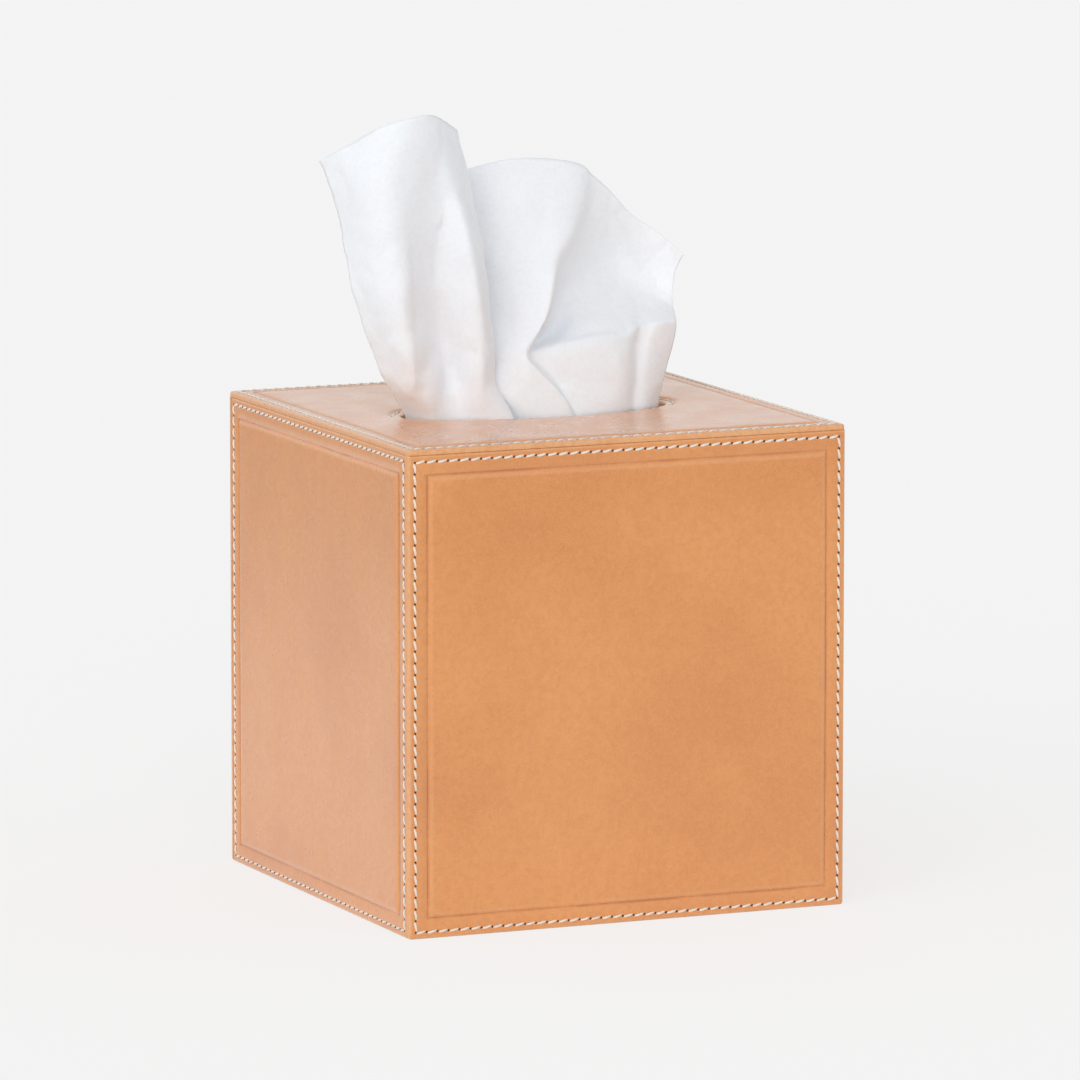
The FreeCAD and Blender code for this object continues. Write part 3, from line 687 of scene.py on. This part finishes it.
def panel_shape(leather, thread, width, height, thickness, low_round, high_round):
    """Make one leather panel lying on its back, open underneath."""
    bm = new_shape()
    profile = border_profile(leather, thread, thickness)
    insets = [inset for inset, level in profile]
    across = panel_lines(width, insets, leather.grid_step)
    along = panel_lines(height, insets, leather.grid_step)
    columns = len(across) - 1
    rows = len(along) - 1
    last = len(profile) - 1

    def place(column, row):
        ring = min(column, columns - column, row, rows - row, last)
        x, y = across[column], along[row]
        level = profile[ring][1]
        if ring == last:
            level = middle_level(leather, thickness, x, y, width)
        radius = low_round if y < 0 else high_round
        if radius > 0:
            x, y = rounded_corner(x, y, width / 2, height / 2, radius)
        return x, y, level

    grid = add_grid(bm, columns, rows, place)
    close_seam(bm, grid.values())
    layer = bm.verts.layers.float.new("inset")
    for vertex in bm.verts:
        vertex[layer] = max(0.0, min(width / 2 - abs(vertex.co.x), height / 2 - abs(vertex.co.y)))
    return bm


def open_edges(bm):
    """Return the edges that have a face on one side only."""
    return [edge for edge in bm.edges if edge.is_boundary]


def close_holes(bm):
    """Close all open edges with flat faces."""
    bmesh.ops.holes_fill(bm, edges=open_edges(bm), sides=0)


def rim_profile(leather, thread, thickness):
    """Return (offset, height) pairs from the leather round the opening, over its rim and down its edge."""
    rise = ((10, 1.0), (8.5, 0.93), (7, 0.7), (5.5, 0.3), (4.2, 0.05))
    roll = ((3.7, 0.15), (3.25, 0.6))
    pairs = [(reach * MM, thickness + share * leather.middle_rise) for reach, share in rise]
    pairs += [(reach * MM, thickness - share * leather.rim_drop) for reach, share in roll]
    rim = thickness - leather.rim_drop
    pairs += dip(thread.ring_inset, leather.groove_width, leather.groove_depth, rim)[::-1]
    pairs += quarter_round(leather.edge_round, rim)[::-1]
    pairs.append((0.0, 0.0))
    return pairs


def cut_opening(bm, leather, thread, size, thickness):
    """Cut the oval opening into the square top panel and give it a rounded, grooved rim."""
    half_length, half_width = opening_halves()
    inner = size / 2 - border_profile(leather, thread, thickness)[-1][0]
    inside = []
    for face in bm.faces:
        centre = face.calc_center_median()
        if max(abs(centre.x), abs(centre.y)) < inner:
            inside.append(face)
    bmesh.ops.delete(bm, geom=inside, context="FACES")
    side = max(2, round(2 * inner / leather.grid_step))
    around = 4 * side
    corners = [Vector(corner) * inner for corner in ((1, -1), (1, 1), (-1, 1), (-1, -1))]
    square = []
    for number in range(around):
        start, end = corners[number // side], corners[(number // side + 1) % 4]
        square.append(start.lerp(end, number % side / side))
    rim = rim_profile(leather, thread, thickness)
    fan = 12
    layer = bm.verts.layers.float["inset"]

    def place(column, row):
        spot = square[column % around]
        turn = math.atan2(spot.y, spot.x)
        offset, level = rim[max(0, row - fan)]
        oval = Vector(((half_length + offset) * math.cos(turn), (half_width + offset) * math.sin(turn)))
        if row < fan:
            oval = spot.lerp(oval, row / fan)
            level = middle_level(leather, thickness, oval.x, oval.y, size)
        return oval.x, oval.y, level

    grid = add_grid(bm, around, fan + len(rim) - 1, place)
    for vertex in grid.values():
        stretch = math.hypot(vertex.co.x / half_length, vertex.co.y / half_width)
        edge = size / 2 - max(abs(vertex.co.x), abs(vertex.co.y))
        rim_gap = max(0.0, (stretch - 1) * half_width)
        vertex[layer] = rim_gap if rim_gap < thread.ring_inset else edge
    close_seam(bm, bm.verts)
    bmesh.ops.bridge_loops(bm, edges=open_edges(bm))


def row_places(start, end, pitch):
    """Return the stitch middles and needle holes of a straight row, and the row's turn."""
    along = end - start
    count = max(1, round(along.length / pitch))
    middles = [start + along * (number + 0.5) / count for number in range(count)]
    holes = [start + along * number / count for number in range(count)]
    return middles, holes, math.atan2(along.y, along.x)


def border_places(thread, width, height):
    """Return the matrices of the stitches and of the needle holes all round a panel."""
    x = width / 2 - thread.edge_inset
    y = height / 2 - thread.edge_inset
    corners = [Vector((-x, -y, 0)), Vector((x, -y, 0)), Vector((x, y, 0)), Vector((-x, y, 0))]
    stitches = []
    holes = []
    for number, start in enumerate(corners):
        middles, ends, turn = row_places(start, corners[(number + 1) % 4], thread.pitch)
        lean = Matrix.Rotation(turn + thread.slant, 4, "Z")
        stitches += [Matrix.Translation(middle) @ lean for middle in middles]
        steep = Matrix.Rotation(turn + thread.slant + thread.hole_slant, 4, "Z")
        holes += [Matrix.Translation(end) @ steep for end in ends]
    return stitches, holes


def ring_places(thread):
    """Return the matrices of the stitches and of the needle holes round the oval opening."""
    half_length, half_width = (half + thread.ring_inset for half in opening_halves())
    fine = 1440
    points = []
    for number in range(fine + 1):
        turn = 2 * math.pi * number / fine
        points.append(Vector((half_length * math.cos(turn), half_width * math.sin(turn), 0)))
    lengths = [0.0]
    for first, second in zip(points, points[1:]):
        lengths.append(lengths[-1] + (second - first).length)
    count = round(lengths[-1] / thread.pitch)
    stitches = []
    holes = []
    for number in range(2 * count):
        wanted = lengths[-1] * number / (2 * count)
        index = next(spot for spot, length in enumerate(lengths) if length >= wanted)
        along = points[(index + 1) % fine] - points[index - 1 if index else fine - 1]
        turn = math.atan2(along.y, along.x) + thread.slant
        spot = Matrix.Translation(points[index])
        if number % 2:
            stitches.append(spot @ Matrix.Rotation(turn, 4, "Z"))
        else:
            holes.append(spot @ Matrix.Rotation(turn + thread.hole_slant, 4, "Z"))
    return stitches, holes


def stitch_shape(thread):
    """Make one stitch: a plump thread that comes out of a needle hole and dives into the next."""
    bm = new_shape()
    around = 8
    along = 6
    half_thick = 0.42 * thread.width
    end_plump = 0.62
    end_sink = 0.28 * MM
    flatness = 0.6

    def place(column, row):
        share = row / along
        bow = math.sin(math.pi * share) ** flatness
        plump = end_plump + (1 - end_plump) * bow
        turn = 2 * math.pi * column / around
        middle = (thread.height - half_thick) * bow - end_sink * (1 - bow)
        x = (share - 0.5) * thread.length
        return x, 0.5 * thread.width * plump * math.cos(turn), middle + half_thick * plump * math.sin(turn)

    grid = add_grid(bm, around, along, place)
    close_seam(bm, grid.values())
    close_holes(bm)
    bmesh.ops.recalc_face_normals(bm, faces=bm.faces)
    return mesh_of("one_stitch", bm)


def needle_hole_shadow_shape():
    """Make the painted shade of one needle hole: a flat dark lens that lies in the stitch groove."""
    bm = new_shape()
    bmesh.ops.create_icosphere(bm, subdivisions=1, radius=1.0)
    bmesh.ops.scale(bm, vec=HOLE_HALF_SIZE, verts=bm.verts)
    for face in bm.faces:
        face.material_index = 1
    return mesh_of("one_needle_hole_shadow", bm)


def add_copies(bm, mesh, matrices):
    """Add one copy of a mesh at each matrix."""
    for matrix in matrices:
        copy = mesh.copy()
        copy.transform(matrix)
        bm.from_mesh(copy)
        bpy.data.meshes.remove(copy)


def tissue_points():
    """Return the rows of points that the tissue passes through, in metres, from its lower end upwards."""
    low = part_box("popup_tissue")[0].z / MM
    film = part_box("slot_film")[1].z / MM
    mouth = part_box("leather_top")[1].z / MM
    tail_heights = (low + 1, low + 40, film - 6, film + 1.6)
    rows = [[(x, y, z) for x, y in TISSUE_TAIL] for z in tail_heights]
    neck = [Vector(tail).lerp(Vector(wide), NECK_SHARE) for tail, wide in zip(TISSUE_TAIL, TISSUE_MOUTH)]
    rows.append([(place.x, place.y, 0.5 * (film + mouth)) for place in neck])
    rows.append([(x, y, mouth) for x, y in TISSUE_MOUTH])
    rows += TISSUE_ROWS
    return [[Vector(point) * MM for point in row] for row in rows]


def smooth_line(points):
    """Return where a subdivided line passes its own points, with its ends kept."""
    inner = [(a + 4 * b + c) / 6 for a, b, c in zip(points, points[1:], points[2:])]
    return [points[0]] + inner + [points[-1]]


def fitted_cage(points):
    """Return a cage whose subdivided surface passes through the given rows of points."""
    cage = [list(row) for row in points]
    for _ in range(FIT_ROUNDS):
        smooth = [smooth_line(row) for row in cage]
        smooth = [smooth_line(column) for column in zip(*smooth)]
        smooth = list(zip(*smooth))
        for row, wanted, now in zip(cage, points, smooth):
            row[:] = [place + target - spot for place, target, spot in zip(row, wanted, now)]
    return cage


def fold_push(fold, place):
    """Return how far a fold pushes a point at x and z in millimetres."""
    best = None
    for start, end in zip(fold.line, fold.line[1:]):
        start = Vector(start)
        run = Vector(end) - start
        share = min(1.0, max(0.0, (place - start).dot(run) / run.length_squared))
        gap = place - start - run * share
        if best is None or gap.length < best[0]:
            best = (gap.length, run.x * gap.y - run.y * gap.x)
    distance, side = best
    reach = fold.left_reach if side > 0 else fold.right_reach
    return fold.push * math.exp(-((distance / reach) ** 2))


def creased_cage(points):
    """Return a mesh of the tissue's cage, with its sharp folds marked."""
    cage = fitted_cage(points)
    for start, end, sharpness in TISSUE_CREASES:
        if sharpness >= FIRM_CREASE:
            for column, row in (start, end):
                cage[row][column] = points[row][column]
    bm = new_shape()
    grid = add_grid(bm, len(cage[0]) - 1, len(cage) - 1, lambda column, row: cage[row][column])
    crease = bm.edges.layers.float.new("crease_edge")
    for start, end, sharpness in TISSUE_CREASES:
        bm.edges.get((grid[start], grid[end]))[crease] = sharpness
    return mesh_of("tissue_cage", bm)


def smoothed(mesh, levels):
    """Return a mesh divided into a smooth surface."""
    piece = link_new(mesh.name, mesh)
    smooth = piece.modifiers.new("smooth", "SUBSURF")
    smooth.levels = levels
    smooth.render_levels = levels
    smooth.boundary_smooth = "PRESERVE_CORNERS"
    graph = bpy.context.evaluated_depsgraph_get()
    made = bpy.data.meshes.new_from_object(piece.evaluated_get(graph))
    bpy.data.objects.remove(piece)
    return made


def tissue_shape(tissue):
    """Make the tissue: a smooth sheet through its points, with pressed folds and a slight crinkle."""
    points = tissue_points()
    columns = len(points[0]) - 1
    bm = bmesh.new()
    bm.from_mesh(smoothed(creased_cage(points), tissue.smoothing))
    uv = bm.loops.layers.uv["UVMap"]
    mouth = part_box("leather_top")[1].z
    for vertex in bm.verts:
        column = vertex.link_loops[0][uv].uv.x * columns
        place = Vector((vertex.co.x, vertex.co.z)) / MM
        push = 0.0
        for fold in TISSUE_FOLDS:
            if fold.first_column <= column <= fold.last_column:
                push += fold_push(fold, place)
        crinkle = 0.0
        for height, scale, kind in CRINKLES:
            crinkle += height * noise.noise(vertex.co * scale, noise_basis=kind)
        free = min(1.0, max(0.0, (vertex.co.z - mouth) / FREE_RISE))
        vertex.co.y -= free * push * MM
        vertex.co += vertex.normal * (free * crinkle * MM)
    return bm


def layer_path(out, base, bend, top):
    """Return the (y, z) places of one folded layer, from its front edge under the valley to its back edge."""
    half = [(0.0, base), (out - bend, base)]
    for degrees in range(15, 91, 15):
        angle = math.radians(degrees)
        half.append((out - bend + bend * math.sin(angle), base + bend * (1 - math.cos(angle))))
    rise = top - base - bend
    half += [(out, base + bend + rise * share) for share in (0.35, 0.7, 0.93, 1.0)]
    front = [(-y, z) for y, z in half[:0:-1]]
    return front + half


def add_layer(bm, layer, path, half_width):
    """Add one folded layer of the stack along its path, with slightly ragged ends."""
    last = len(path) - 1
    rows = 14
    loose_share = 0.3
    sway_reach = 0.12 * MM
    ragged_reach = 1.2 * MM

    def place(column, row):
        y, z = path[column]
        x = half_width * (2 * row / rows - 1)
        edge = max(0.0, abs(2 * column / last - 1) - 1 + loose_share) / loose_share
        ragged = noise.noise((x * 45.0, layer * 1.9, math.copysign(7.0, y)))
        sway = noise.noise((x * 30.0, layer * 0.35, z * 25.0))
        return x, y + sway_reach * sway, z + ragged_reach * edge * ragged

    add_grid(bm, last, rows, place)


def stack_shape(refill):
    """Make the folded stack: layers bent upwards, one inside another, round the valley of the next tissue."""
    low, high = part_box("tissue_stack")
    tail_gap = 0.3 * MM
    top_gap = 1.6 * MM
    side_gap = 0.4 * MM
    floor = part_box("popup_tissue")[0].z - tail_gap
    top = high.z - top_gap
    valley = 3.5 * MM
    outer_bend = 26.0 * MM
    inner_bend = 3.0 * MM
    count = refill.layer_count
    bm = new_shape()
    for layer in range(count):
        out = valley + (layer + 0.5) * (high.y - valley) / count
        base = floor - (layer + 0.5) * (floor - low.z) / count
        bend = inner_bend + (outer_bend - inner_bend) * layer / (count - 1)
        half_width = high.x - side_gap * (1 + noise.noise((layer * 3.7, 0.0, 5.0)))
        add_layer(bm, layer, layer_path(out, base, bend, top), half_width)
    bmesh.ops.recalc_face_normals(bm, faces=bm.faces)
    return bm


def round_edges(bm, edges, radius, segments):
    """Round edges and return the faces of the rounds."""
    made = bmesh.ops.bevel(
        bm, geom=edges, offset=radius, offset_type="OFFSET", affect="EDGES", segments=segments, profile=0.5,
        material=-1)
    return made["faces"]


def carton_shape(refill):
    """Make the carton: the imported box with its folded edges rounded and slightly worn."""
    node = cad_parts["refill_carton"]
    low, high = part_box("refill_carton")
    near = 0.01 * MM
    bm = new_shape()
    bm.from_mesh(node.data)
    bmesh.ops.remove_doubles(bm, verts=bm.verts, dist=near)

    def on_box(vertex):
        sides = [abs(value - bound) < near for value, bound in zip(vertex.co, low)]
        sides += [abs(value - bound) < near for value, bound in zip(vertex.co, high)]
        return sum(sides) == 3

    folds = []
    for edge in bm.edges:
        if on_box(edge.verts[0]) and on_box(edge.verts[1]):
            run = edge.verts[1].co - edge.verts[0].co
            if sorted(abs(value) for value in run)[1] < near:
                folds.append(edge)
    for face in round_edges(bm, folds, radius=refill.fold_round, segments=3):
        face.smooth = True
        face.material_index = 1
    return bm


def lap_shape(refill):
    """Make the glued lap on the carton's back: a strip of board with soft edges."""
    low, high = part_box("refill_carton")
    end_gap = 0.8 * MM
    side_gap = 0.4 * MM
    size = Vector((refill.lap_width, refill.lap_thickness, high.z - low.z - 2 * end_gap))
    middle = Vector((high.x - side_gap - size.x / 2, high.y + size.y / 2, (low.z + high.z) / 2))
    bm = new_shape()
    bmesh.ops.create_cube(bm, size=1.0)
    bmesh.ops.scale(bm, vec=size, verts=bm.verts)
    bmesh.ops.translate(bm, vec=middle, verts=bm.verts)
    round_edges(bm, list(bm.edges), radius=0.15 * MM, segments=2)
    return bm


# Stage

def add_floor(stage):
    """Lay the floor."""
    bm = new_shape()
    bmesh.ops.create_grid(bm, x_segments=1, y_segments=1, size=stage.floor_half)
    floor = link_new("floor", mesh_of("floor", bm))
    floor.data.materials.append(floor_finish(stage))


def add_light(stage):
    """Light the scene evenly from all sides, with a soft lamp from the front on the left."""
    world = bpy.data.worlds.new("studio")
    world.use_nodes = True
    bpy.context.scene.world = world
    tree = world.node_tree
    coordinates = add_node(tree, "ShaderNodeTexCoord")
    direction = add_node(tree, "ShaderNodeSeparateXYZ", {"Vector": coordinates.outputs["Generated"]})
    strength = span(tree, direction.outputs["Z"], 0.0, 1.0, stage.side_strength, stage.ceiling_strength)
    backdrop = tree.nodes["Background"]
    set_inputs(tree, backdrop, {"Color": opaque(WHITE), "Strength": strength})
    seen = add_node(tree, "ShaderNodeBackground", {"Color": opaque(stage.floor_colour)})
    mixed = add_node(tree, "ShaderNodeMixShader", {
        "Fac": seen_or_mirrored(tree, add_node(tree, "ShaderNodeLightPath")),
        1: backdrop.outputs["Background"], 2: seen.outputs["Background"]})
    tree.links.new(mixed.outputs["Shader"], tree.nodes["World Output"].inputs["Surface"])
    lamp = bpy.data.lights.new("soft_key", "SUN")
    lamp.energy = stage.key_strength
    lamp.angle = stage.key_spread
    key = link_new("soft_key", lamp)
    key.rotation_euler = Vector(KEY_DIRECTION).to_track_quat("Z", "Y").to_euler()
    key.visible_glossy = False


def add_camera(stage):
    """Set up the camera of the main view."""
    turn = stage.camera_turn
    rise = stage.camera_rise
    back = Vector((math.sin(turn) * math.cos(rise), -math.cos(turn) * math.cos(rise), math.sin(rise)))
    right = Vector((math.cos(turn), math.sin(turn), 0))
    target = right * stage.target_side + Vector((0, 0, stage.target_height))
    view = bpy.data.cameras.new("photo_view")
    view.lens = stage.lens
    view.sensor_width = 36.0
    view.clip_start = 0.05
    view.clip_end = 60.0
    camera = link_new("photo_view", view)
    camera.location = target + back * stage.camera_distance
    camera.rotation_euler = back.to_track_quat("Z", "Y").to_euler()
    bpy.context.scene.camera = camera


# Operators

class TISSUECOVER_OT_leather_panels(Operator):
    """Make the four leather walls and the leather top with its oval opening"""

    bl_idname = "tissue_cover.leather_panels"
    bl_label = "Leather Panels"

    def execute(self, context):
        leather = context.scene.tissue_cover.leather
        thread = context.scene.tissue_cover.thread
        finishes = [leather_finish(leather), hole_shadow_finish(thread)]
        hole = needle_hole_shadow_shape()
        for side in PANEL_SIDES:
            width, height, thickness, matrix = panel_frame(side)
            low_round = leather.corner_round if side == "top" else leather.foot_round
            high_round = leather.corner_round if side == "top" else 0.0
            bm = panel_shape(leather, thread, width, height, thickness, low_round, high_round)
            holes = border_places(thread, width, height)[1]
            if side == "top":
                cut_opening(bm, leather, thread, width, thickness)
                lowered = Matrix.Translation((0, 0, -leather.rim_drop))
                holes += [lowered @ place for place in ring_places(thread)[1]]
            else:
                close_holes(bm)
            bmesh.ops.recalc_face_normals(bm, faces=bm.faces)
            # Painted shade: a dark lens sunk into the stitch groove at each needle hole
            sunk = Matrix.Translation((0, 0, thickness - leather.groove_depth + HOLE_RISE))
            add_copies(bm, hole, [sunk @ place for place in holes])
            bmesh.ops.transform(bm, matrix=matrix, verts=bm.verts)
            make_piece("leather_panel_" + side, bm, finishes, "cover", ["leather_" + side])
        finish_nodes(STRIP_NODES + ["opening_collar"], finishes[0])
        return {"FINISHED"}


class TISSUECOVER_OT_stitching(Operator):
    """Sew the rows of slanted stitches round each panel and the ring round the opening"""

    bl_idname = "tissue_cover.stitching"
    bl_label = "Stitching"

    def execute(self, context):
        leather = context.scene.tissue_cover.leather
        thread = context.scene.tissue_cover.thread
        finish = thread_finish(thread)
        stitch = stitch_shape(thread)
        rows = []
        for side in PANEL_SIDES:
            width, height, thickness, matrix = panel_frame(side)
            rows.append((side, matrix, thickness, border_places(thread, width, height)[0]))
            if side == "top":
                rows.append(("opening", matrix, thickness - leather.rim_drop, ring_places(thread)[0]))
        for name, matrix, rise, places in rows:
            surface = matrix @ Matrix.Translation((0, 0, rise))
            bm = new_shape()
            add_copies(bm, stitch, [surface @ place for place in places])
            make_piece("stitches_" + name, bm, [finish], "cover", ["thread_" + name])
        return {"FINISHED"}


class TISSUECOVER_OT_inner_shell(Operator):
    """Finish the stiff boards and the suede lining"""

    bl_idname = "tissue_cover.inner_shell"
    bl_label = "Boards and Lining"

    def execute(self, context):
        refill = context.scene.tissue_cover.refill
        finish_nodes(BOARD_NODES, board_finish(refill))
        finish_nodes(LINING_NODES, lining_finish(refill))
        return {"FINISHED"}


class TISSUECOVER_OT_refill(Operator):
    """Make the carton with its lap and the folded stack, and finish the clear film"""

    bl_idname = "tissue_cover.refill"
    bl_label = "Refill"

    def execute(self, context):
        refill = context.scene.tissue_cover.refill
        board = carton_finish("white_paperboard", refill.carton_colour)
        worn_board = carton_finish("worn_paperboard", refill.fold_colour)
        make_piece(
            "folded_carton", carton_shape(refill), [board, worn_board], "refill", ["refill_carton"],
            all_smooth=False)
        finish_nodes(["slot_film"], film_finish())
        make_piece("carton_lap", lap_shape(refill), [board], "refill", [])
        stack = make_piece(
            "folded_tissues", stack_shape(refill), [stack_finish(refill)], "refill", ["tissue_stack"])
        layers = stack.modifiers.new("layers", "SOLIDIFY")
        layers.thickness = refill.layer_thickness
        layers.offset = 0.0
        return {"FINISHED"}


class TISSUECOVER_OT_tissue(Operator):
    """Stand the folded tissue in the opening"""

    bl_idname = "tissue_cover.tissue"
    bl_label = "Tissue"

    def execute(self, context):
        tissue = context.scene.tissue_cover.tissue
        bm = tissue_shape(tissue)
        piece = make_piece(
            "standing_tissue", bm, [tissue_finish(tissue)], "tissue", ["popup_tissue"])
        ply = piece.modifiers.new("ply", "SOLIDIFY")
        ply.thickness = tissue.thickness
        ply.offset = 0.0
        return {"FINISHED"}


class TISSUECOVER_OT_stage(Operator):
    """Lay the floor, hang the soft light and set up the camera"""

    bl_idname = "tissue_cover.stage"
    bl_label = "Stage"

    def execute(self, context):
        stage = context.scene.tissue_cover.stage
        context.scene.view_settings.view_transform = "Standard"
        add_floor(stage)
        add_light(stage)
        add_camera(stage)
        return {"FINISHED"}


class TISSUECOVER_PT_sidebar(Panel):
    """Lists the steps that dress the tissue box cover"""

    bl_label = "Tissue Cover"
    bl_idname = "TISSUECOVER_PT_sidebar"
    bl_space_type = "VIEW_3D"
    bl_region_type = "UI"
    bl_category = "Tissue Cover"

    def draw(self, context):
        column = self.layout.column()
        for operator in OPERATORS:
            column.operator(operator.bl_idname)


OPERATORS = (
    TISSUECOVER_OT_leather_panels,
    TISSUECOVER_OT_stitching,
    TISSUECOVER_OT_inner_shell,
    TISSUECOVER_OT_refill,
    TISSUECOVER_OT_tissue,
    TISSUECOVER_OT_stage,
)
SETTINGS = (
    LeatherSettings,
    ThreadSettings,
    RefillSettings,
    TissueSettings,
    StageSettings,
    CoverSettings,
)
CLASSES = SETTINGS + OPERATORS + (TISSUECOVER_PT_sidebar,)


def register():
    """Register the classes and hang the settings on the scene."""
    for item in CLASSES:
        bpy.utils.register_class(item)
    bpy.types.Scene.tissue_cover = PointerProperty(type=CoverSettings)


def unregister():
    """Take the settings and the classes away again."""
    del bpy.types.Scene.tissue_cover
    for item in reversed(CLASSES):
        bpy.utils.unregister_class(item)


def main():
    """Dress the cover step by step."""
    register()
    bpy.ops.tissue_cover.leather_panels()
    bpy.ops.tissue_cover.stitching()
    bpy.ops.tissue_cover.inner_shell()
    bpy.ops.tissue_cover.refill()
    bpy.ops.tissue_cover.tissue()
    bpy.ops.tissue_cover.stage()


if __name__ == "__main__":
    main()
